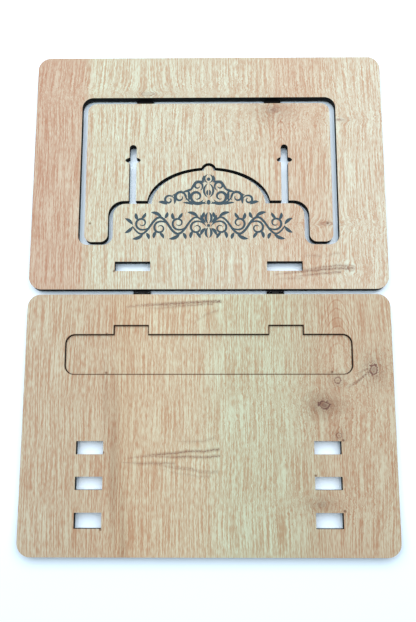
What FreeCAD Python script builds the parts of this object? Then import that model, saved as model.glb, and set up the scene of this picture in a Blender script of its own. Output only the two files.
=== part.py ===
# Folding book stand of laser-cut, oak-faced board, lying open and face up.
# The base board and the reading frame meet at two small butt hinges. A strut panel is nested
# in the frame's window and swings out behind it on two more hinges; its feet drop into the
# base board's slots. The book ledge is stored in a cut-out of the base board, and its tabs
# plug into two slots of the reading frame.
#
# Millimetres. X runs along the hinge line, +Y from the base board to the reading frame, +Z up.
# The origin is on the surface the stand lies on, under the middle of the base hinge line.
import FreeCAD, Part
import math
import os
import Sketcher

SIZES = {
    # Boards
    "board_width": 330.0,
    "base_depth": 230.0,
    "frame_depth": 230.0,
    "board_thickness": 8.0,
    "board_corner": 12.0,
    "board_gap": 4.8,            # between the two boards, over the base hinge line
    # Window of the reading frame
    "side_rail": 43.9,
    "top_rail": 41.6,
    "bottom_rail": 42.1,
    "window_corner": 10.5,
    "pocket_corner": 9.0,        # lower corners of the two pockets that hold the strut's legs
    # Mosque-shaped tongue that stands up into the window
    "tongue_rise": 39.65,        # from the bottom rail to the shoulders
    "shoulder_corner": 11.5,
    "dome_half_width": 53.1,
    "dome_rise": 33.5,
    "dome_sink": 0.75,           # the dome's centre lies this far under the shoulders
    "finial_radius": 4.4,
    # Strut panel and its clearances in the window
    "strut_side_gap": 5.7,
    "strut_top_gap": 6.2,        # the strut's hinge line runs along the middle of this gap
    "strut_foot_gap": 2.8,
    "leg_width": 21.7,           # the tongue is as wide as the two legs leave room for
    "channel_side": 4.7,         # between strut and tongue, along X
    "channel_rise": 2.9,         # between strut and tongue, along Y
    "strut_corner": 8.5,
    "foot_corner": 7.0,
    # Minaret-shaped slots of the strut panel
    "minaret_inset": 17.5,       # from the tongue's side to the slot's centre line
    "minaret_width": 6.7,
    "minaret_height": 55.6,
    "balcony_height": 40.2,
    "balcony_half_width": 7.2,
    "balcony_half_height": 2.9,
    # Book ledge and the play of its tabs in the reading frame
    "ledge_half_length": 128.7,
    "ledge_depth": 35.4,
    "ledge_corner": 8.7,
    "ledge_setback": 37.3,       # from the base board's hinge edge to the ledge bar
    "tab_centre": 70.0,
    "tab_width": 30.6,
    "tab_length": 8.3,
    "kerf": 0.6,                 # laser cut between the ledge and its cut-out
    "tab_play": 1.1,
    "tab_slot_play": 0.45,
    "tab_slot_setback": 17.2,    # from the frame's hinge edge to its two slots
    # Slots of the base board that take the strut's feet
    "foot_play": 1.1,
    "far_slot_depth": 13.4,
    "middle_slot_depth": 11.2,
    "near_slot_depth": 11.4,
    "far_slot_margin": 23.7,     # from the base board's free edge to the far slots
    "slot_bridge": 19.2,         # board left between one pair of slots and the next
    # Butt hinges, all four alike
    "hinge_centre": 61.5,
    "leaf_length": 16.0,
    "leaf_reach": 11.0,
    "leaf_thickness": 0.6,
    "leaf_corner": 1.5,
    "knuckle_diameter": 2.6,
    "knuckle_length": 5.4,       # middle knuckle; the outer two share what is left
    "knuckle_play": 0.1,
    "pin_diameter": 1.4,
    "pin_play": 0.05,
    # Countersunk screws, two to a leaf
    "screw_offset": 5.0,
    "screw_reach": 7.3,
    "screw_diameter": 1.8,
    "screw_head_diameter": 3.0,
    "screw_length": 6.0,
    "screw_tip": 1.4,
    "recess_length": 2.0,
    "recess_width": 0.45,
    "recess_depth": 0.35,
    # Engraved ornament on the tongue
    "engraving_depth": 0.3,
    "dome_ornament_half_width": 47.0,
    "dome_ornament_sink": 1.75,  # from the tongue's shoulders down to the ornament's foot
    "band_half_width": 78.0,
    "band_sink": 21.25,          # from the shoulders down to the band's middle
}

doc = FreeCAD.newDocument("folding_book_stand")
sheet = doc.addObject("Spreadsheet::Sheet", "sizes")
for row, (alias, value) in enumerate(SIZES.items(), start=1):
    sheet.set(f"A{row}", alias.replace("_", " "))
    sheet.set(f"B{row}", str(value))
    sheet.setAlias(f"B{row}", alias)
doc.recompute()

parts = []


# ---- Formulas: signed sums of size names and numbers, such as "board_width/2 - side_rail"

def number(formula):
    total = 0.0
    sign = 1
    for word in formula.split():
        if word in "+-":
            sign = -1 if word == "-" else 1
        else:
            name, _, divisor = word.partition("/")
            value = sheet.get(name) if name in SIZES else float(name)
            total += sign * value / float(divisor or 1)
    return total


def bound(formula):
    return " ".join("sizes." + word if word[0].isalpha() else word for word in formula.split())


def minus(formula):
    flipped = {"+": "-", "-": "+"}
    words = formula.split()
    if words[0] not in flipped:
        words.insert(0, "+")
    return " ".join(flipped.get(word, word) for word in words)


def mirrored(half):
    """A closed outline from its right-hand points, listed upwards or downwards."""
    return half + [(minus(x), y) for x, y in reversed(half)]


# ---- Sketches and features

def new_sketch(body, name, plane="XY_Plane"):
    sketch = body.newObject("Sketcher::SketchObject", name)
    support = [item for item in body.Origin.OriginFeatures if item.Role == plane]
    sketch.AttachmentSupport = [(support[0], "")]
    sketch.MapMode = "FlatFace"
    return sketch


def bind_constraint(sketch, constraint, formula):
    row = sketch.addConstraint(Sketcher.Constraint(*constraint, number(formula)))
    sketch.setExpression(f"Constraints[{row}]", bound(formula))


def hold_point(sketch, item, point, x, y):
    bind_constraint(sketch, ("DistanceX", -1, 1, item, point), x)
    bind_constraint(sketch, ("DistanceY", -1, 1, item, point), y)


def draw_outline(sketch, corners):
    points = [FreeCAD.Vector(number(x), number(y), 0) for x, y in corners]
    first = sketch.GeometryCount
    count = len(points)
    for index in range(count):
        line = Part.LineSegment(points[index], points[(index + 1) % count])
        sketch.addGeometry(line)
    for index, (x, y) in enumerate(corners):
        item = first + index
        following = first + (index + 1) % count
        sketch.addConstraint(Sketcher.Constraint("Coincident", item, 2, following, 1))
        hold_point(sketch, item, 1, x, y)


def draw_box(sketch, left, right, low, high):
    draw_outline(sketch, [(left, low), (right, low), (right, high), (left, high)])


def draw_circle(sketch, x, y, diameter):
    centre = FreeCAD.Vector(number(x), number(y), 0)
    item = sketch.addGeometry(Part.Circle(centre, FreeCAD.Vector(0, 0, 1), number(diameter) / 2))
    hold_point(sketch, item, 3, x, y)
    bind_constraint(sketch, ("Diameter", item), diameter)


def draw_ellipse(sketch, x, y, half_width, half_height):
    centre = FreeCAD.Vector(number(x), number(y), 0)
    shape = Part.Ellipse(centre, number(half_width), number(half_height))
    item = sketch.addGeometry(shape)
    sketch.exposeInternalGeometry(item)
    long_axis = item + 1
    short_axis = item + 2
    hold_point(sketch, item, 3, x, y)
    sketch.addConstraint(Sketcher.Constraint("Horizontal", long_axis))
    bind_constraint(sketch, ("Distance", long_axis), f"{half_width} + {half_width}")
    bind_constraint(sketch, ("Distance", short_axis), f"{half_height} + {half_height}")


def pad(body, sketch, length, both_ways=False):
    feature = body.newObject("PartDesign::Pad", sketch.Name + "_pad")
    feature.Profile = sketch
    feature.setExpression("Length", bound(length))
    feature.Midplane = both_ways
    return finish_feature(body, feature)


def pocket(body, sketch, depth=None):
    """Cut right through both ways, or to a depth upwards from the sketch."""
    before = body.Shape.Volume
    feature = body.newObject("PartDesign::Pocket", sketch.Name + "_pocket")
    feature.Profile = sketch
    if depth is None:
        feature.Type = "ThroughAll"
        feature.Midplane = True
    else:
        feature.Reversed = True
        feature.setExpression("Length", bound(depth))
    finish_feature(body, feature)
    if body.Shape.Volume > before - 1e-6:
        raise ValueError(f"{feature.Name} cuts nothing")
    return feature


def finish_feature(body, feature):
    body.Tip = feature
    doc.recompute()
    return feature


def round_corners(body, feature, corners, radius):
    """Fillet the upright edges that stand at the given corners."""
    places = [(number(x), number(y)) for x, y in corners]
    names = []
    for index, edge in enumerate(feature.Shape.Edges, start=1):
        ends = [vertex.Point for vertex in edge.Vertexes]
        upright = len(ends) == 2 and math.hypot(ends[0].x - ends[1].x, ends[0].y - ends[1].y) < 1e-5
        if upright and any(math.hypot(ends[0].x - x, ends[0].y - y) < 1e-4 for x, y in places):
            names.append(f"Edge{index}")
    fillet = body.newObject("PartDesign::Fillet", feature.Name + "_" + radius)
    fillet.Base = (feature, names)
    fillet.setExpression("Radius", bound(radius))
    return finish_feature(body, fillet)


def both_sides(corners):
    return corners + [(minus(x), y) for x, y in corners]


def place(item, x="0", y="0", z="0", turn=0):
    """Put an object at a place in the assembly, turned about Z by whole degrees."""
    rotation = FreeCAD.Rotation(FreeCAD.Vector(0, 0, 1), turn)
    item.Placement = FreeCAD.Placement(FreeCAD.Vector(number(x), number(y), number(z)), rotation)
    for axis, formula in (("x", x), ("y", y), ("z", z)):
        item.setExpression(f"Placement.Base.{axis}", bound(formula))


def keep(item, node):
    item.Label = node
    parts.append(item)
    return item


# ---- Shared lines of the assembly

BOARD_BACK = "knuckle_diameter"                      # height of the boards' backs
HINGE_AXIS = "knuckle_diameter/2"
FRAME_EDGE = "board_gap/2"
WINDOW_HALF = "board_width/2 - side_rail"
WINDOW_TOP = "frame_depth - top_rail"
SHOULDER = "bottom_rail + tongue_rise"
DOME_CENTRE = f"{SHOULDER} - dome_sink"
FINIAL_CENTRE = f"{DOME_CENTRE} + dome_rise"
STRUT_HALF = f"{WINDOW_HALF} - strut_side_gap"
STRUT_TOP = f"{WINDOW_TOP} - strut_top_gap"
STRUT_AXIS = f"{WINDOW_TOP} - strut_top_gap/2"       # in the reading frame's own Y
LEG_INSIDE = f"{STRUT_HALF} - leg_width"
TONGUE_HALF = f"{LEG_INSIDE} - channel_side"
MINARET_CENTRE = f"{TONGUE_HALF} - minaret_inset"
FOOT_END = "bottom_rail + strut_foot_gap"


def screw_holes(body, axis, side):
    """Pilot holes in a board's back for the screws of its left and right hinge leaves."""
    sketch = new_sketch(body, f"{body.Name}_{'upper' if side == '+' else 'lower'}_screws")
    line = f"{axis} {side} screw_reach"
    for sign in ("+", "-"):
        for offset in ("+", "-"):
            x = f"hinge_centre {offset} screw_offset"
            draw_circle(sketch, x if sign == "+" else minus(x), line, "screw_diameter")
    pocket(body, sketch, "screw_length - leaf_thickness")


def make_base_board():
    body = doc.addObject("PartDesign::Body", "base_board")
    right = "board_width/2"
    outline = new_sketch(body, "base_outline")
    corners = mirrored([(right, "0"), (right, "- base_depth")])
    draw_outline(outline, corners)
    blank = pad(body, outline, "board_thickness")
    blank = round_corners(body, blank, corners, "board_corner")

    bed = new_sketch(body, "ledge_bed")
    end = "ledge_half_length + kerf"
    near = minus("ledge_setback - kerf")
    far = minus("ledge_setback + ledge_depth + kerf")
    tab_near = minus("ledge_setback - tab_length - kerf")
    tab_out = "tab_centre + tab_width/2 + kerf"
    tab_in = "tab_centre - tab_width/2 - kerf"
    draw_outline(bed, mirrored([
        (tab_in, near), (tab_in, tab_near), (tab_out, tab_near), (tab_out, near),
        (end, near), (end, far)]))
    blank = pocket(body, bed)
    blank = round_corners(body, blank, both_sides([(end, near), (end, far)]), "ledge_corner")

    slots = new_sketch(body, "foot_slots")
    outside = f"{STRUT_HALF} + foot_play"
    inside = f"{LEG_INSIDE} - foot_play"
    low = "far_slot_margin - base_depth"
    for name in ("far", "middle", "near"):
        high = f"{low} + {name}_slot_depth"
        draw_box(slots, inside, outside, low, high)
        draw_box(slots, minus(outside), minus(inside), low, high)
        low = f"{high} + slot_bridge"
    pocket(body, slots)
    screw_holes(body, FRAME_EDGE, "-")
    place(body, y=minus(FRAME_EDGE), z=BOARD_BACK)
    keep(body, "base_board")


def make_book_ledge():
    body = doc.addObject("PartDesign::Body", "book_ledge")
    outline = new_sketch(body, "ledge_outline")
    near = minus("ledge_setback")
    far = minus("ledge_setback + ledge_depth")
    tab_near = minus("ledge_setback - tab_length")
    tab_out = "tab_centre + tab_width/2"
    tab_in = "tab_centre - tab_width/2"
    end = "ledge_half_length"
    draw_outline(outline, mirrored([
        (tab_in, near), (tab_in, tab_near), (tab_out, tab_near), (tab_out, near),
        (end, near), (end, far)]))
    blank = pad(body, outline, "board_thickness")
    round_corners(body, blank, both_sides([(end, near), (end, far)]), "ledge_corner - kerf")
    # It is loose in its cut-out, so it rests on what the stand lies on
    place(body, y=minus(FRAME_EDGE))
    keep(body, "book_ledge")


def make_frame_blank():
    body = doc.addObject("PartDesign::Body", "frame_blank")
    right = "board_width/2"
    outline = new_sketch(body, "frame_outline")
    corners = mirrored([(right, "0"), (right, "frame_depth")])
    draw_outline(outline, corners)
    blank = pad(body, outline, "board_thickness")
    blank = round_corners(body, blank, corners, "board_corner")

    window = new_sketch(body, "window")
    tops = [(WINDOW_HALF, WINDOW_TOP)]
    pockets = [(WINDOW_HALF, "bottom_rail"), (TONGUE_HALF, "bottom_rail")]
    shoulders = [(TONGUE_HALF, SHOULDER)]
    draw_outline(window, mirrored(tops + pockets + shoulders))
    blank = pocket(body, window)
    blank = round_corners(body, blank, both_sides(tops), "window_corner")
    blank = round_corners(body, blank, both_sides(pockets), "pocket_corner")
    round_corners(body, blank, both_sides(shoulders), "shoulder_corner")

    dome = new_sketch(body, "tongue_dome")
    draw_ellipse(dome, "0", DOME_CENTRE, "dome_half_width", "dome_rise")
    pad(body, dome, "board_thickness")
    finial = new_sketch(body, "tongue_finial")
    draw_circle(finial, "0", FINIAL_CENTRE, "finial_radius + finial_radius")
    pad(body, finial, "board_thickness")

    slots = new_sketch(body, "tab_slots")
    outer = "tab_centre + tab_width/2 + tab_play"
    inner = "tab_centre - tab_width/2 - tab_play"
    high = "tab_slot_setback + board_thickness + tab_slot_play + tab_slot_play"
    draw_box(slots, inner, outer, "tab_slot_setback", high)
    draw_box(slots, minus(outer), minus(inner), "tab_slot_setback", high)
    pocket(body, slots)
    screw_holes(body, minus(FRAME_EDGE), "+")
    screw_holes(body, STRUT_AXIS, "+")
    place(body, y=FRAME_EDGE, z=BOARD_BACK)
    return body


def make_strut_panel():
    body = doc.addObject("PartDesign::Body", "strut_panel")
    outline = new_sketch(body, "strut_outline")
    arch = f"{SHOULDER} + channel_rise"
    tops = [(STRUT_HALF, STRUT_TOP)]
    feet = [(STRUT_HALF, FOOT_END), (LEG_INSIDE, FOOT_END)]
    haunches = [(LEG_INSIDE, arch)]
    draw_outline(outline, mirrored(tops + feet + haunches))
    blank = pad(body, outline, "board_thickness")
    blank = round_corners(body, blank, both_sides(tops), "strut_corner")
    blank = round_corners(body, blank, both_sides(feet), "foot_corner")
    round_corners(body, blank, both_sides(haunches), "shoulder_corner + channel_rise")

    dome = new_sketch(body, "arch_dome")
    draw_ellipse(dome, "0", DOME_CENTRE, "dome_half_width + channel_side",
                 "dome_rise + channel_rise")
    pocket(body, dome)
    finial = new_sketch(body, "arch_finial")
    reach = "finial_radius + channel_rise"
    draw_circle(finial, "0", FINIAL_CENTRE, f"{reach} + {reach}")
    pocket(body, finial)

    for name, sign in (("right", "+"), ("left", "-")):
        inner = f"{MINARET_CENTRE} - minaret_width/2"
        outer = f"{MINARET_CENTRE} + minaret_width/2"
        crown = f"{arch} + minaret_height - minaret_width/2"
        centre = MINARET_CENTRE
        if sign == "-":
            inner, outer, centre = minus(outer), minus(inner), minus(centre)
        shaft = new_sketch(body, f"{name}_minaret_shaft")
        draw_box(shaft, inner, outer, DOME_CENTRE, crown)
        pocket(body, shaft)
        tip = new_sketch(body, f"{name}_minaret_tip")
        draw_circle(tip, centre, crown, "minaret_width")
        pocket(body, tip)
        balcony = new_sketch(body, f"{name}_minaret_balcony")
        draw_ellipse(balcony, centre, f"{arch} + balcony_height",
                     "balcony_half_width", "balcony_half_height")
        pocket(body, balcony)
    screw_holes(body, STRUT_AXIS, "-")
    place(body, y=FRAME_EDGE, z=BOARD_BACK)
    keep(body, "strut_panel")


# ---- Hinges and screws

def make_leaf(node, outer_knuckles, **where):
    """A leaf reaching to +Y from the pin's axis, lying flat at the top of its knuckles."""
    body = doc.addObject("PartDesign::Body", node)
    side = "leaf_length/2"
    plate = new_sketch(body, node + "_plate", "YZ_Plane")
    draw_box(plate, "0", "leaf_reach", "knuckle_diameter/2 - leaf_thickness", "knuckle_diameter/2")
    pad(body, plate, "leaf_length", both_ways=True)
    roll = new_sketch(body, node + "_roll", "YZ_Plane")
    draw_circle(roll, "0", "0", "knuckle_diameter")
    blank = pad(body, roll, "leaf_length", both_ways=True)
    round_corners(body, blank, both_sides([(side, "leaf_reach")]), "leaf_corner")
    bore = new_sketch(body, node + "_bore", "YZ_Plane")
    play = "" if outer_knuckles else " + pin_play + pin_play"
    draw_circle(bore, "0", "0", "pin_diameter" + play)
    pocket(body, bore)

    notch = new_sketch(body, node + "_notch")
    front = "knuckle_diameter/2 + knuckle_play"
    behind = "- knuckle_diameter"
    if outer_knuckles:
        reach = "knuckle_length/2 + knuckle_play"
        draw_box(notch, minus(reach), reach, behind, front)
    else:
        beyond = "leaf_length"
        draw_box(notch, "knuckle_length/2", beyond, behind, front)
        draw_box(notch, minus(beyond), "- knuckle_length/2", behind, front)
    pocket(body, notch)

    for name, sign in (("right", 1), ("left", -1)):
        sink = body.newObject("PartDesign::SubtractiveCone", f"{node}_{name}_countersink")
        sink.setExpression("Radius1", "sizes.screw_head_diameter / 2")
        sink.setExpression("Radius2", "sizes.screw_diameter / 2")
        sink.setExpression("Height", "sizes.leaf_thickness")
        sink.setExpression("Placement.Base.x", f"{sign} * sizes.screw_offset")
        sink.setExpression("Placement.Base.y", "sizes.screw_reach")
        sink.setExpression("Placement.Base.z", "sizes.knuckle_diameter / 2 - sizes.leaf_thickness")
        finish_feature(body, sink)
    place(body, **where)
    keep(body, node)


def make_pin(node, x, y):
    pin = doc.addObject("Part::Cylinder", node)
    pin.setExpression("Radius", "sizes.pin_diameter / 2")
    pin.setExpression("Height", "sizes.leaf_length")
    along_x = FreeCAD.Rotation(FreeCAD.Vector(0, 1, 0), 90)
    start = f"{x} - leaf_length/2"
    pin.Placement = FreeCAD.Placement(FreeCAD.Vector(number(start), number(y), 0), along_x)
    pin.setExpression("Placement.Base.x", bound(start))
    pin.setExpression("Placement.Base.y", bound(y))
    pin.setExpression("Placement.Base.z", bound(HINGE_AXIS))
    keep(pin, node)


def make_screw():
    """One countersunk screw, head down at the origin, cross recess in its head."""
    body = doc.addObject("PartDesign::Body", "screw")
    profile = new_sketch(body, "screw_profile", "XZ_Plane")
    draw_outline(profile, [
        ("0", "0"), ("screw_head_diameter/2", "0"), ("screw_diameter/2", "leaf_thickness"),
        ("screw_diameter/2", "screw_length - screw_tip"), ("0", "screw_length")])
    turned = body.newObject("PartDesign::Revolution", "screw_turned")
    turned.Profile = profile
    turned.ReferenceAxis = (profile, ["V_Axis"])
    turned.Angle = 360
    finish_feature(body, turned)
    for name, long_x, long_y in (("first", "length", "width"), ("second", "width", "length")):
        recess = new_sketch(body, f"screw_{name}_recess")
        x = f"recess_{long_x}/2"
        y = f"recess_{long_y}/2"
        draw_box(recess, minus(x), x, minus(y), y)
        pocket(body, recess, "recess_depth")
    return body


def make_screw_pair(node, screw, x, y):
    pair = []
    for name, sign in (("right", "+"), ("left", "-")):
        link = doc.addObject("App::Link", f"{node}_{name}")
        link.LinkedObject = screw
        place(link, f"{x} {sign} screw_offset", y, "knuckle_diameter - leaf_thickness")
        pair.append(link)
    group = doc.addObject("Part::Compound", node)
    group.Links = pair
    keep(group, node)


def make_hinge(name, x, axis, fixed, moving, fixed_turn, screw):
    """A butt hinge: the fixed leaf holds the pin in two knuckles, the moving leaf turns on it."""
    fixed_side = "-" if fixed_turn else "+"
    moving_side = "+" if fixed_turn else "-"
    make_leaf(f"{name}_{fixed}_leaf", True, x=x, y=axis, z=HINGE_AXIS, turn=fixed_turn)
    make_leaf(f"{name}_{moving}_leaf", False, x=x, y=axis, z=HINGE_AXIS, turn=180 - fixed_turn)
    make_pin(f"{name}_pin", x, axis)
    make_screw_pair(f"{name}_{fixed}_screws", screw, x, f"{axis} {fixed_side} screw_reach")
    make_screw_pair(f"{name}_{moving}_screws", screw, x, f"{axis} {moving_side} screw_reach")


# ---- Engraved ornament: pointed strokes, leaves and dots, drawn to the right of X = 0

def vector(point):
    return FreeCAD.Vector(point[0], point[1], 0)


def stroke(points, width, fade=0.6):
    """A line through the points, full width in the middle and pointed at both ends."""
    spine = Part.BSplineCurve()
    spine.interpolate([vector(point) for point in points])
    steps = 2 * len(points)
    left = [spine.StartPoint]
    right = [spine.StartPoint]
    for index in range(1, steps):
        share = index / steps
        at = spine.FirstParameter + share * (spine.LastParameter - spine.FirstParameter)
        along = spine.tangent(at)[0]
        half = width / 2 * math.sin(math.pi * share) ** fade
        across = FreeCAD.Vector(-along.y, along.x, 0) * half
        left.append(spine.value(at) + across)
        right.append(spine.value(at) - across)
    edges = []
    for side in (left, right):
        curve = Part.BSplineCurve()
        curve.interpolate(side + [spine.EndPoint])
        edges.append(curve.toShape())
    return Part.Wire(edges)


def volute(centre, radius, start, sweep, width):
    """A stroke that winds in round a centre; angles in degrees."""
    points = []
    steps = 9
    core = 0.3                   # radius left at the end of the winding
    for step in range(steps + 1):
        share = step / steps
        angle = math.radians(start + sweep * share)
        reach = radius * (1 - (1 - core) * share)
        points.append((centre[0] + reach * math.cos(angle), centre[1] + reach * math.sin(angle)))
    return stroke(points, width)


def leaf(root, tip, belly, hollow):
    """A pointed leaf that bulges by belly to its left; hollow is the other side's share of it."""
    start = vector(root)
    end = vector(tip)
    middle = (start + end) / 2
    bulge = FreeCAD.Vector(start.y - end.y, end.x - start.x, 0).normalize() * belly
    outside = Part.Arc(start, middle + bulge, end).toShape()
    inside = Part.Arc(end, middle + bulge * hollow, start).toShape()
    return Part.Wire([outside, inside])


def dot(centre, radius):
    circle = Part.Circle(vector(centre), FreeCAD.Vector(0, 0, 1), radius)
    return Part.Wire([circle.toShape()])


def with_mirror_image(wires):
    across_x = FreeCAD.Vector(1, 0, 0)
    return wires + [wire.mirror(FreeCAD.Vector(0, 0, 0), across_x) for wire in wires]


DOME_ORNAMENT_WIDTH = 47.0       # half widths in which the two ornaments are drawn
BAND_WIDTH = 78.0


def dome_ornament():
    """A bud over a palmette, with scrolls that step down to both sides."""
    scrolls = [
        volute((11.2, 8.6), 6.8, 200, 470, 2.7),
        volute((26.8, 8.2), 6.1, 215, -440, 2.5),
        volute((37.2, 5.5), 4.7, 165, -430, 2.2),
        volute((10.0, 19.2), 4.9, 250, -430, 2.3),
        stroke([(2.2, 4.6), (8.0, 1.2), (15.0, 2.2), (20.0, 6.0), (23.4, 12.0)], 1.7),
    ]
    middle = [
        leaf((0.4, 7.6), (0.4, 21.6), -5.0, 0.58),
        leaf((0.5, 9.6), (0.5, 15.4), -1.9, -0.05),
        leaf((0.4, 22.2), (0.4, 30.5), -4.2, 0.6),
        leaf((-0.1, 0.6), (-0.1, 5.6), -2.0, -0.2),
    ]
    foliage = [
        leaf((38.6, 0.8), (47.0, 3.4), 2.6, -0.2),
        leaf((31.9, 1.2), (32.4, 10.6), 1.9, -0.3),
        leaf((18.6, 4.2), (19.2, 15.2), 2.2, -0.3),
        leaf((24.6, 13.4), (14.0, 17.4), 2.1, -0.2),
        leaf((17.4, 15.6), (12.0, 24.6), 2.1, -0.2),
        leaf((12.0, 24.4), (3.4, 23.4), 2.0, -0.3),
        leaf((6.0, 23.4), (4.6, 29.6), 2.1, -0.4),
        leaf((34.6, 9.8), (25.0, 15.0), 1.8, -0.1),
        leaf((1.6, 1.8), (13.2, 1.4), 2.1, -0.2),
        leaf((14.2, 0.4), (24.4, 2.6), 2.0, -0.1),
    ]
    return with_mirror_image(scrolls + middle + foliage) + [dot((0.0, 25.8), 1.7)]


def band_ornament():
    """A waving stem with a curling shoot and four leaves at each bend."""
    bends = 4
    pitch = 17.0
    swing = 8.0
    start = 3.0
    shoot = [(-9.6, -1.5), (-6.6, 2.2), (-2.2, 4.0), (2.4, 3.0), (4.8, -0.6), (3.8, -4.8),
             (-0.2, -6.4), (-3.4, -4.2), (-2.8, -0.8), (0.2, -0.2), (1.4, -2.4)]
    stem = []
    for step in range(4 * bends + 1):
        phase = step / 4
        stem.append((start + phase * pitch, swing * math.sin(math.pi * phase)))
    half = [
        stroke(stem, 2.3, 0.25),
        leaf((0.4, 1.8), (0.4, 13.0), -3.4, 0.3),
        leaf((0.4, -1.8), (0.4, -12.0), 3.4, 0.3),
        leaf((2.4, 2.6), (7.4, 10.4), -2.6, -0.2),
        leaf((2.4, -2.6), (7.4, -9.6), 2.6, -0.2),
        leaf((70.5, 0.6), (78.0, 7.0), 2.6, -0.2),
        leaf((70.5, -0.6), (78.0, -7.0), -2.6, -0.2),
    ]
    for bend in range(bends):
        up = 1 if bend % 2 == 0 else -1
        x = start + pitch * (bend + 0.5)
        half.append(stroke([(x + u, up * v) for u, v in shoot], 2.1))
        half.append(leaf((x - 2.0, up * 8.0), (x + 8.4, up * 12.8), up * 3.0, -0.1))
        half.append(leaf((x - 4.6, up * 7.0), (x - 7.2, up * 13.2), up * 2.2, -0.4))
        half.append(leaf((x + 3.0, -up * 5.4), (x + 5.2, -up * 12.4), up * 2.4, -0.3))
        half.append(leaf((x + 0.4, -up * 6.6), (x - 4.0, -up * 12.6), -up * 2.2, -0.3))
    return with_mirror_image(half) + [dot((0.0, 0.0), 1.5)]


def make_engraving():
    """The solids that the engraving takes out of the tongue's face."""
    depth = number("engraving_depth")
    floor = number(f"{BOARD_BACK} + board_thickness - engraving_depth")
    dome_at = (number("dome_ornament_half_width") / DOME_ORNAMENT_WIDTH,
               number(f"{FRAME_EDGE} + {SHOULDER} - dome_ornament_sink"))
    band_at = (number("band_half_width") / BAND_WIDTH,
               number(f"{FRAME_EDGE} + {SHOULDER} - band_sink"))
    cutters = []
    for wires, (scale, y) in ((dome_ornament(), dome_at), (band_ornament(), band_at)):
        for wire in wires:
            face = Part.Face(wire)
            face.scale(scale)
            face.translate(FreeCAD.Vector(0, y, floor))
            cutters.append(face.extrude(FreeCAD.Vector(0, 0, 2 * depth)))
    engraving = doc.addObject("Part::Feature", "engraving")
    engraving.Shape = cutters[0].multiFuse(cutters[1:])
    return engraving


def make_reading_frame():
    frame = doc.addObject("Part::Cut", "reading_frame")
    frame.Base = make_frame_blank()
    frame.Tool = make_engraving()
    keep(frame, "reading_frame")


make_base_board()
make_book_ledge()
make_reading_frame()
make_strut_panel()
screw = make_screw()
for side_name, side_sign in (("left", "-"), ("right", "+")):
    hinge_x = f"{side_sign} hinge_centre"
    make_hinge(f"base_hinge_{side_name}", hinge_x, "0", "base", "frame", 180, screw)
    make_hinge(f"strut_hinge_{side_name}", hinge_x, f"{FRAME_EDGE} + {STRUT_AXIS}", "frame", "strut",
               0, screw)

doc.recompute()
for item in doc.Objects:
    if "Invalid" in item.State or "Error" in item.State:
        raise ValueError(f"{item.Name} failed: {item.State}")
os.makedirs("parts", exist_ok=True)
for item in parts:
    if item.Shape.isNull() or not item.Shape.isValid():
        raise ValueError(f"{item.Label} has no valid shape")
    item.Shape.exportStep(f"parts/{item.Label}.step")
    print(f"{item.Label:32s} {len(item.Shape.Solids)} solid(s) {item.Shape.Volume:10.2f} mm3")
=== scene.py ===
# Looks of the folding book stand: laser-cut boards faced with a pale oak decor, an engraved
# ornament, black butt hinges. Lengths in the finishes are millimetres; everything else is metres.
from functools import reduce

import bpy
from mathutils import Matrix, Vector


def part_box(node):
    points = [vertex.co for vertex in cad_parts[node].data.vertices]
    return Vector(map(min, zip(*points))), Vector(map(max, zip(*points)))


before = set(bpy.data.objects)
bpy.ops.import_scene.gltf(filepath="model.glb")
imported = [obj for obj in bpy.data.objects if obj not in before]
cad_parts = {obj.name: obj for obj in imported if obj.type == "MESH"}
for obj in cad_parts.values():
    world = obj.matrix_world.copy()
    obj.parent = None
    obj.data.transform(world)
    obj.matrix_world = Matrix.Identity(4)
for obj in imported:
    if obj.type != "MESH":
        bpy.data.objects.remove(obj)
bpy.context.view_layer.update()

MM = 0.001
HALF_WIDTH, BASE_EDGE, BOARD_TOP = (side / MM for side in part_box("base_board")[1])
FRAME_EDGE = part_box("reading_frame")[0][1] / MM    # like BASE_EDGE, the Y of a hinge edge

DAYLIGHT = 1.6                # how much brighter than white paper the boards are lit


def seen(red, green, blue, light=1.0):
    """A colour as it looks on a screen, 0 to 255, made linear and freed of its light."""
    def linear(value):
        value /= 255
        return value / 12.92 if value <= 0.04045 else ((value + 0.055) / 1.055) ** 2.4
    return tuple(linear(value) / light for value in (red, green, blue))


# ---- Shader maths

class Field:
    """A socket's value, which changes over the surface and works in Python expressions."""

    def __init__(self, finish, socket):
        self.finish = finish
        self.socket = socket

    def maths(self, operation, *values):
        sockets = dict(enumerate(values))
        return self.finish.node("ShaderNodeMath", {"operation": operation}, sockets)

    def __add__(self, other):
        return self.maths("ADD", self, other)

    def __sub__(self, other):
        return self.maths("SUBTRACT", self, other)

    def __rsub__(self, other):
        return self.maths("SUBTRACT", other, self)

    def __mul__(self, other):
        return self.maths("MULTIPLY", self, other)

    def __truediv__(self, other):
        return self.maths("DIVIDE", self, other)

    def __rtruediv__(self, other):
        return self.maths("DIVIDE", other, self)

    def __pow__(self, other):
        return self.maths("POWER", self, other)

    def __neg__(self):
        return self * -1

    __radd__ = __add__
    __rmul__ = __mul__

    def sine(self):
        return self.maths("SINE", self)

    def magnitude(self):
        return self.maths("ABSOLUTE", self)

    def at_most(self, other):
        return self.maths("MINIMUM", self, other)

    def at_least(self, other):
        return self.maths("MAXIMUM", self, other)

    def rise(self, start, end):
        """0 up to start, 1 from end on, smooth between them; falls where end is lower."""
        if end < start:
            return 1 - self.rise(end, start)
        return self.finish.node("ShaderNodeMapRange", {"interpolation_type": "SMOOTHSTEP"},
                                {"Value": self, "From Min": start, "From Max": end})

    def near(self, middle, reach):
        """1 at the middle value, falling to 0 at reach to either side of it."""
        return (self - middle).magnitude().rise(reach, 0.0)

    def between(self, low, high, soft):
        """1 from low to high, fading out over soft outside them."""
        return self.rise(low - soft, low) * self.rise(high + soft, high)


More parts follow.
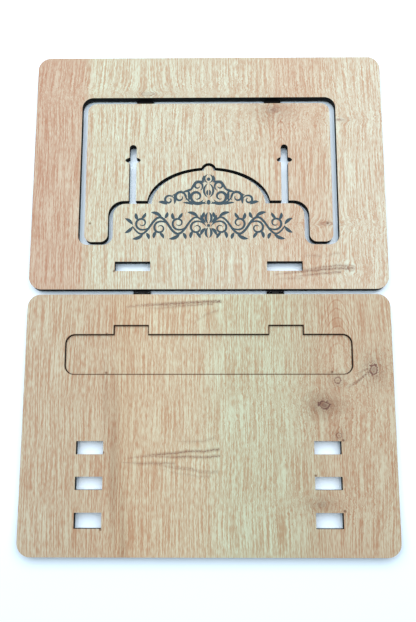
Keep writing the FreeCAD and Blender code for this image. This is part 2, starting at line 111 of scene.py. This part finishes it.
class Finish:
    """A material, whose node() makes any shader node."""

    def __init__(self, name):
        self.material = bpy.data.materials.new(name)
        self.material.use_nodes = True
        self.tree = self.material.node_tree
        self.tree.nodes.clear()
        place = self.node("ShaderNodeTexCoord", output="Object")
        place = self.node("ShaderNodeVectorMath", {"operation": "SCALE"},
                          {0: place, "Scale": 1 / MM})
        self.x, self.y, self.z = self.split(place)
        normal = self.node("ShaderNodeTexCoord", output="Normal")
        self.facing_up = self.split(normal)[2]

    def node(self, kind, settings=None, sockets=None, output=0):
        made = self.tree.nodes.new(kind)
        for name, value in (settings or {}).items():
            if name == "stops":
                self.set_stops(made.color_ramp, value)
            else:
                setattr(made, name, value)
        for name, value in (sockets or {}).items():
            if isinstance(value, Field):
                self.tree.links.new(value.socket, made.inputs[name])
            else:
                made.inputs[name].default_value = value
        return Field(self, made.outputs[output]) if made.outputs else made

    @staticmethod
    def set_stops(ramp, stops):
        ramp.elements.remove(ramp.elements[1])
        (position, colour), *others = stops
        ramp.elements[0].position = position
        ramp.elements[0].color = (*colour, 1)
        for position, colour in others:
            ramp.elements.new(position).color = (*colour, 1)

    def split(self, vector):
        return [self.node("ShaderNodeSeparateXYZ", sockets={0: vector}, output=axis)
                for axis in range(3)]

    def noise(self, x, y, width, length, seed, detail=2.0, roughness=0.5):
        """Noise from 0 to 1 in patches of that width along X and length along Y."""
        place = self.node("ShaderNodeCombineXYZ",
                          sockets={0: x / width, 1: y / length, 2: float(seed)})
        return self.node("ShaderNodeTexNoise", sockets={
            "Vector": place, "Scale": 1.0, "Detail": detail, "Roughness": roughness})

    def mix(self, share, first, second, blend="MIX"):
        """Colours mixed by a share; plain colours are three numbers."""
        sockets = {0: share}
        for index, colour in ((6, first), (7, second)):
            sockets[index] = colour if isinstance(colour, Field) else (*colour, 1)
        return self.node("ShaderNodeMix", {"data_type": "RGBA", "blend_type": blend},
                         sockets, output=2)

    def surface(self, colour, roughness, height=None, bump=0.1, reach=0.001, **constants):
        sockets = {"Base Color": colour, "Roughness": roughness}
        if height is not None:
            sockets["Normal"] = self.node("ShaderNodeBump", sockets={
                "Height": height, "Strength": bump, "Distance": reach})
        for name, value in constants.items():
            sockets[name.replace("_", " ")] = value
        shader = self.node("ShaderNodeBsdfPrincipled", sockets=sockets)
        self.node("ShaderNodeOutputMaterial", sockets={"Surface": shader})
        return self.material


# ---- Oak-faced boards. X is across a board; "away" is the distance from its hinge edge.

# What each mark does to the tint under it
DARK_LINE = (0.81, 0.59, 0.48)
LIGHT_LINE = (1.12, 1.29, 1.36)
KNOT_BROWN = (0.36, 0.19, 0.19)
GLOOM = (0.62, 0.50, 0.43)
SCORCH = (0.34, 0.20, 0.12)

# Walls are charred, and coloured darker than char alone: painted shade, for walls that sit in
# shade
CHAR_AND_PAINTED_SHADE = seen(4, 4, 4)
BROWN_CHAR_AND_PAINTED_SHADE = seen(26, 18, 14)
SLATE = seen(52, 74, 86, DAYLIGHT)
SLATE_ASH = seen(78, 98, 108, DAYLIGHT)

PLANK_JUMP = 40               # how far the grain jumps sideways at the joint of two planks
ENGRAVING_TOP = BOARD_TOP - 0.15
ENGRAVING_BOTTOM = BOARD_TOP - 0.9

# The decor sheet of the base board and the book ledge
BASE_DECOR = {
    "joint": 10.5,            # X where one printed plank ends and the next starts
    # Tints across the sheet: X and the colour there
    "tints": (
        (-165, (204, 187, 160)), (-120, (203, 184, 155)), (-94, (205, 183, 153)),
        (-76, (206, 182, 149)), (-55, (212, 191, 159)), (-12, (211, 196, 165)),
        (24, (204, 201, 170)), (64, (201, 196, 165)), (90, (198, 184, 154)),
        (108, (200, 178, 148)), (165, (204, 186, 157)),
    ),
    # Knots: centre X, away, half width, half length, strengths of ring, core and cloud round it
    "knots": (
        (147.5, 68.5, 3.2, 4.2, 1.4, 0.5, 0.6),
        (115.0, 78.5, 2.6, 2.6, 0.9, 0.0, 0.5),
        (102.5, 100.5, 4.2, 3.0, 1.2, 0.7, 1.0),
        (114.5, 127.0, 2.2, 2.2, 0.9, 0.0, 0.4),
        (98.0, 186.0, 3.6, 2.0, 0.3, 0.3, 0.6),
    ),
    # Fissures across the grain, from a fine tip to a broad end: X and away of both, how far
    # the middle bows towards the far edge, half breadth, strength
    "fissures": (
        (-74.0, 11.4, 11.0, 6.8, -0.6, 1.9, 1.0),
        (-44.0, 10.6, 4.0, 9.0, 0.4, 1.4, 0.7),
        (-60.0, 13.0, -18.0, 10.5, 0.5, 0.8, 0.5),
        (-14.0, 27.5, 8.5, 15.5, -2.0, 0.9, 0.4),
        (-70.0, 146.6, 9.0, 139.4, -0.8, 1.2, 1.0),
        (-50.0, 145.4, 9.5, 145.0, 0.3, 1.1, 0.9),
        (-76.0, 150.4, -30.0, 150.8, 0.4, 0.8, 0.7),
        (-50.0, 150.5, -12.0, 156.5, 1.0, 1.8, 0.45),
        (-34.0, 152.5, 8.0, 158.6, 1.5, 2.2, 0.4),
        (-44.0, 155.0, 2.0, 162.0, 2.0, 1.2, 0.3),
        (-30.0, 131.6, 5.0, 129.2, 2.0, 0.7, 0.45),
        (123.0, 84.5, 145.0, 69.0, 1.5, 2.4, 0.9),
        (131.0, 74.0, 145.5, 68.0, -1.0, 1.6, 0.8),
    ),
    # Cathedral figure: apex X, away, half width one length below the apex, length
    "arches": ((116.0, 6.5, 17.0, 32.0),),
    # Dark streaks along the grain: X at the hinge edge, at the middle, at the far edge, half width
    "streaks": ((-92.0, -90.5, -75.0, 11.0),),
    # The ledge's cut, as the boxes it encloses: centre X, away, half width, half length, corner
    "cuts": (
        (0, 55.0, 129.0, 18.0, 8.4), (-70, 44.0, 15.6, 15.3, 0.3), (70, 44.0, 15.6, 15.3, 0.3),
    ),
    # Spots scorched beside the laser's starts: X and away
    "scorches": (
        (-92.0, 71.5), (-92.0, 36.5), (110.6, 70.9), (-92.5, 141.8), (93.2, 161.5),
        (118.3, 131.2), (117.6, 191.4), (-93.2, 207.0),
    ),
}

# The decor sheet of the reading frame and the strut panel
FRAME_DECOR = {
    "joint": 136.0,
    "tints": (
        (-165, (203, 173, 148)), (-122, (205, 179, 153)), (-108, (211, 205, 179)),
        (-40, (212, 205, 180)), (20, (211, 200, 175)), (56, (211, 195, 169)),
        (68, (210, 187, 161)), (108, (211, 190, 164)), (120, (217, 206, 182)),
        (165, (217, 205, 182)),
    ),
    "knots": (
        (62.0, 175.5, 5.0, 3.2, 0.3, 0.45, 0.6),
        (-58.5, 192.5, 7.0, 1.6, 0.6, 0.3, 0.2),
        (124.0, 165.0, 4.5, 1.1, 0.5, 0.6, 0.15),
        (110.0, 62.0, 6.0, 1.5, 0.5, 0.3, 0.15),
        (130.5, 19.5, 3.2, 2.8, 0.5, 0.0, 0.0),
    ),
    "fissures": (
        (60.0, 13.4, 132.0, 19.6, 1.0, 1.4, 1.0),
        (80.0, 16.2, 128.0, 21.8, 1.4, 1.2, 0.8),
        (78.0, 11.6, 121.0, 15.6, 0.6, 1.2, 0.8),
        (60.0, 8.8, 86.0, 10.2, 0.4, 0.9, 0.4),
        (86.0, 30.2, 103.0, 30.8, 1.0, 0.7, 0.4),
        (106.0, 29.0, 121.0, 33.2, 1.4, 0.7, 0.4),
    ),
    "arches": ((68.5, 163.0, -8.0, 22.0),),     # a negative half width turns the arch over
    "streaks": (),
    "cuts": (),
    "scorches": ((-87.0, 17.0), (-110.4, 62.8), (110.4, 62.4)),
}


def strongest(marks):
    """The strongest of several marks at each place; 0 where there are none."""
    most = 0.0
    for mark in marks:
        most = mark.at_least(most)
    return most


class OakBoard(Finish):
    """The decor of one board; each method makes one kind of mark, from 0 to 1."""

    def __init__(self, name, edge, side, seed):
        super().__init__(name)
        self.away = (self.y - edge) * side
        self.seed = seed

    def figure(self, width, length, layer, **kind):
        """Noise that stays in place, whatever the grain does."""
        return self.noise(self.x, self.away, width, length, self.seed + layer, **kind)

    def grain_place(self, joint):
        """X as the grain has it: it wavers, and it jumps at the joint of two printed planks."""
        plank = self.x.rise(joint - 0.2, joint + 0.2)
        across = self.x + (self.figure(70, 160, 0) - 0.5) * 9 + plank * PLANK_JUMP
        return across + (self.figure(9, 34, 1) - 0.5) * 1.4

    def knots(self, across, knots):
        """Pushes the grain aside at each knot; returns it with the knots' marks and clouds."""
        marks = []
        clouds = []
        for knot_x, knot_away, half_width, half_length, ring, core, cloud in knots:
            to_side = self.x - knot_x
            beyond = self.away - knot_away
            reach = ((to_side / half_width) ** 2 + (beyond / half_length) ** 2) ** 0.5
            uneven = self.figure(2.6, 2.6, knot_x, detail=4.0, roughness=0.6)
            reach = reach * (0.1 + 1.8 * uneven)
            across = across - to_side * 0.9 / (1 + reach * reach * 0.3)
            ripples = (reach * 8).sine().rise(0.3, 1.0) * reach.rise(3.6, 1.0) * 0.4
            rings = reach.near(1.0, 0.36).at_least(ripples) * ring
            marks.append(rings.at_least(reach.rise(1.0, 0.3) * core))
            clouds.append(reach.rise(7.0, 0.5) * cloud * 0.75)
        return across, strongest(marks), strongest(clouds)

    def fissures(self, fissures):
        """Ragged, speckled cracks, with the bruised wood and the pale wood beside them."""
        rag = (self.figure(9, 60, 2, detail=3.0, roughness=0.6) - 0.5) * 3
        speckle = self.figure(1.8, 1.0, 3, detail=2.0).rise(0.42, 0.60)
        cracks = []
        bruises = []
        pale = []
        for tip_x, tip_away, end_x, end_away, bow, breadth, depth in fissures:
            share = (self.x - tip_x) / (end_x - tip_x)
            middle = tip_away + (end_away - tip_away) * share + share * (1 - share) * (4 * bow)
            apart = (self.away - middle - rag * (0.25 + share)).magnitude()
            along = share.between(0.0, 1.0, 0.02)
            inside = apart.rise(breadth, breadth * 0.15) * (0.45 + 0.55 * share).at_most(1.0)
            cracks.append(along * inside * (0.15 + 0.75 * speckle) * depth)
            bruises.append(along * apart.rise(2.6, 0.6) * share.rise(0.0, 0.4) * depth)
            pale.append(along * apart.rise(8.0, 3.0) * share * depth)
        return strongest(cracks), strongest(bruises), strongest(pale)

    def arches(self, arches):
        """Cathedral arches: lines that follow nested parabolas."""
        lines = []
        for apex_x, apex_away, half_width, length in arches:
            below = self.away - apex_away if half_width > 0 else apex_away - self.away
            level = below - ((self.x - apex_x) / half_width) ** 2 * length
            zone = level.rise(-0.5 * length, 0.0) * below.rise(1.9 * length, 0.8 * length)
            ripple = self.figure(9, 30, 4) * 5
            lines.append(zone * ((level + ripple) * 0.8).sine().rise(0.6, 1.0))
        return strongest(lines)

    def streaks(self, streaks, broken):
        """Dark streaks that bend with the grain and fade out towards the hinge edge."""
        bands = []
        for start, middle, end, half_width in streaks:
            run = self.away / (1.4 * HALF_WIDTH)
            bend = (middle - start) * (4 * run * (1 - run))
            centre = start + bend + (end - start) * run * run
            band = (self.x - centre).magnitude().rise(half_width, 0.0) * self.away.rise(40, 90)
            bands.append(band * broken * 0.65)
        return strongest(bands)

    def singed(self, cuts, spots):
        """Spots scorched by the laser, and a fine scorched line along its cut round the boxes."""
        marks = []
        for spot_x, spot_away in spots:
            apart = ((self.x - spot_x) ** 2 + (self.away - spot_away) ** 2) ** 0.5
            marks.append(apart.rise(1.8, 0.4))
        gaps = []
        for centre_x, centre_away, half_width, half_length, corner in cuts:
            to_side = (self.x - centre_x).magnitude() - (half_width - corner)
            beyond = (self.away - centre_away).magnitude() - (half_length - corner)
            outside = (to_side.at_least(0) ** 2 + beyond.at_least(0) ** 2) ** 0.5
            gaps.append(outside + to_side.at_least(beyond).at_most(0) - corner)
        if gaps:
            marks.append(reduce(Field.at_most, gaps).magnitude().rise(0.95, 0.45) * 0.8)
        return strongest(marks)

    def tint(self, tints):
        """The colour under the grain, which drifts across the sheet."""
        stops = [((position + HALF_WIDTH) / (2 * HALF_WIDTH), seen(*colour, DAYLIGHT))
                 for position, colour in tints]
        drift = (self.figure(30, 240, 11) - 0.5) * 12
        place = (self.x + drift + HALF_WIDTH) / (2 * HALF_WIDTH)
        return self.node("ShaderNodeValToRGB", {"stops": stops}, {"Fac": place})

    def marked(self, colour, strength, mark):
        return self.mix(strength, colour, mark, "MULTIPLY")


def oak_board(name, edge, side, seed, decor):
    board = OakBoard(name, edge, side, seed)
    front = board.facing_up.rise(-0.5, 0.5)     # knots, cracks and scorches are on the face only
    across = board.grain_place(decor["joint"])
    across, knots, clouds = board.knots(across, decor["knots"])
    cracks, bruises, pale = board.fissures(decor["fissures"])

    def grain(width, length, layer, detail=1.0):
        return board.noise(across, board.away, width, length, seed + layer, detail=detail)

    # The grain at three sizes, from printed growth lines to the embossed fibres
    broad = grain(5.0, 190, 5, detail=2.0)
    lines = grain(1.05, 46, 6)
    fibres = grain(0.75, 6.0, 7)
    pores = grain(0.5, 4.5, 8).rise(0.62, 0.75)
    squiggles = grain(3.4, 26, 9, detail=2.0).near(0.5, 0.035)
    patches = board.figure(26, 60, 10).rise(0.48, 0.62)
    shade = broad * 0.08 + lines * 0.54 + fibres * 0.38

    colour = board.tint(decor["tints"])
    colour = board.marked(colour, 1.0, board.mix(shade.rise(0.37, 0.63), DARK_LINE, LIGHT_LINE))
    colour = board.marked(colour, (squiggles * patches).at_least(pale * front) * 0.55, LIGHT_LINE)
    colour = board.marked(colour, pores * 0.4, DARK_LINE)
    streaks = board.streaks(decor["streaks"], broad.rise(0.2, 0.7))
    gloom = clouds.at_least(streaks).at_least(bruises * 0.6)
    colour = board.marked(colour, gloom * front, GLOOM)
    colour = board.marked(colour, board.arches(decor["arches"]) * front * 0.7, DARK_LINE)
    colour = board.marked(colour, knots.at_least(cracks) * front, KNOT_BROWN)
    singed = board.singed(decor["cuts"], decor["scorches"])
    colour = board.marked(colour, singed * front * 0.9, SCORCH)

    # Laser-cut walls: char plus painted shade; the engraving is a slate-coloured recess
    wall = board.facing_up.magnitude().rise(0.6, 0.4)
    recess = (1 - wall) * board.z.between(ENGRAVING_BOTTOM, ENGRAVING_TOP, 0.1)
    ash = board.noise(board.x, board.y, 1.2, 1.2, 6)
    colour = board.mix(recess, colour, board.mix(ash, SLATE, SLATE_ASH))
    soot = board.noise(board.x + board.y, board.z, 0.5, 6, 7).rise(0.6, 0.95)
    # Painted shade: the walls get a colour darker than their char alone
    colour = board.mix(wall, colour, board.mix(soot, CHAR_AND_PAINTED_SHADE, BROWN_CHAR_AND_PAINTED_SHADE))

    roughness = 0.5 + shade * 0.12 + recess * 0.35 + wall * 0.35
    height = shade * 0.8 - pores * 0.6 - cracks * 0.6
    return board.surface(colour, roughness, height, bump=0.4, reach=0.00015,
                         Specular_IOR_Level=0.35)


def black_steel(name, shade, roughness):
    finish = Finish(name)
    wear = finish.noise(finish.x + finish.z, finish.y, 0.8, 0.8, 8, detail=3.0)
    colour = finish.mix(wear.rise(0.6, 0.85), shade, seen(60, 60, 62))
    rough = roughness + wear * 0.2
    return finish.surface(colour, rough, wear, bump=0.15, reach=0.0001, Metallic=0.6)


base_finish = oak_board("oak_base", BASE_EDGE, -1, 10, BASE_DECOR)
frame_finish = oak_board("oak_frame", FRAME_EDGE, 1, 60, FRAME_DECOR)
BOARD_FINISHES = {"base_board": base_finish, "book_ledge": base_finish,
                  "reading_frame": frame_finish, "strut_panel": frame_finish}
hinge_finish = black_steel("black_steel", seen(18, 18, 20), 0.35)
screw_finish = black_steel("black_screws", seen(30, 30, 32), 0.25)
for name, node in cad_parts.items():
    hardware = screw_finish if name.endswith("_screws") else hinge_finish
    for slot in node.material_slots:
        slot.material = BOARD_FINISHES.get(name, hardware)


# ---- Floor, light and camera

def make_floor():
    finish = Finish("pale_floor")
    mottle = finish.noise(finish.x, finish.y, 400, 400, 9)
    colour = finish.mix(mottle, (0.70, 0.84, 0.95), (0.72, 0.85, 0.96))
    bpy.ops.mesh.primitive_plane_add(size=6)
    floor = bpy.context.object
    floor.name = "floor"
    floor.data.materials.append(finish.surface(colour, 0.15, IOR=1.5))


def make_light(name, place, size, power, colour=(1, 1, 1), aim=(0, 0, 0)):
    data = bpy.data.lights.new(name, "AREA")
    data.shape = "RECTANGLE"
    data.size, data.size_y = size
    data.energy = power
    data.color = colour
    lamp = bpy.data.objects.new(name, data)
    lamp.location = place
    toward = Vector(aim) - Vector(place)
    lamp.rotation_euler = toward.to_track_quat("-Z", "Y").to_euler()
    bpy.context.scene.collection.objects.link(lamp)


def make_world():
    world = bpy.data.worlds.new("studio")
    world.use_nodes = True
    backdrop = world.node_tree.nodes["Background"]
    backdrop.inputs["Color"].default_value = (0.85, 0.94, 1.0, 1)
    backdrop.inputs["Strength"].default_value = 0.35
    bpy.context.scene.world = world


def make_camera():
    """Almost overhead, leaning a little towards the reading frame."""
    place = Vector((6.8, -143.9, 670.5)) * MM
    lean, turn, roll = 0.1886, 0.0109, -0.0016
    data = bpy.data.cameras.new("camera")
    data.sensor_width = 36
    data.lens = 42.83
    camera = bpy.data.objects.new("camera", data)
    camera.matrix_world = (Matrix.Translation(place) @ Matrix.Rotation(lean, 4, "X")
                           @ Matrix.Rotation(turn, 4, "Y") @ Matrix.Rotation(roll, 4, "Z"))
    bpy.context.scene.collection.objects.link(camera)
    bpy.context.scene.camera = camera


make_floor()
make_light("softbox", (0, 0.66, 1.45), (2.6, 2.0), 60, (0.97, 0.98, 1.0), aim=(0, 0.66, 0))
make_world()
make_camera()
bpy.context.scene.view_settings.view_transform = "Standard"
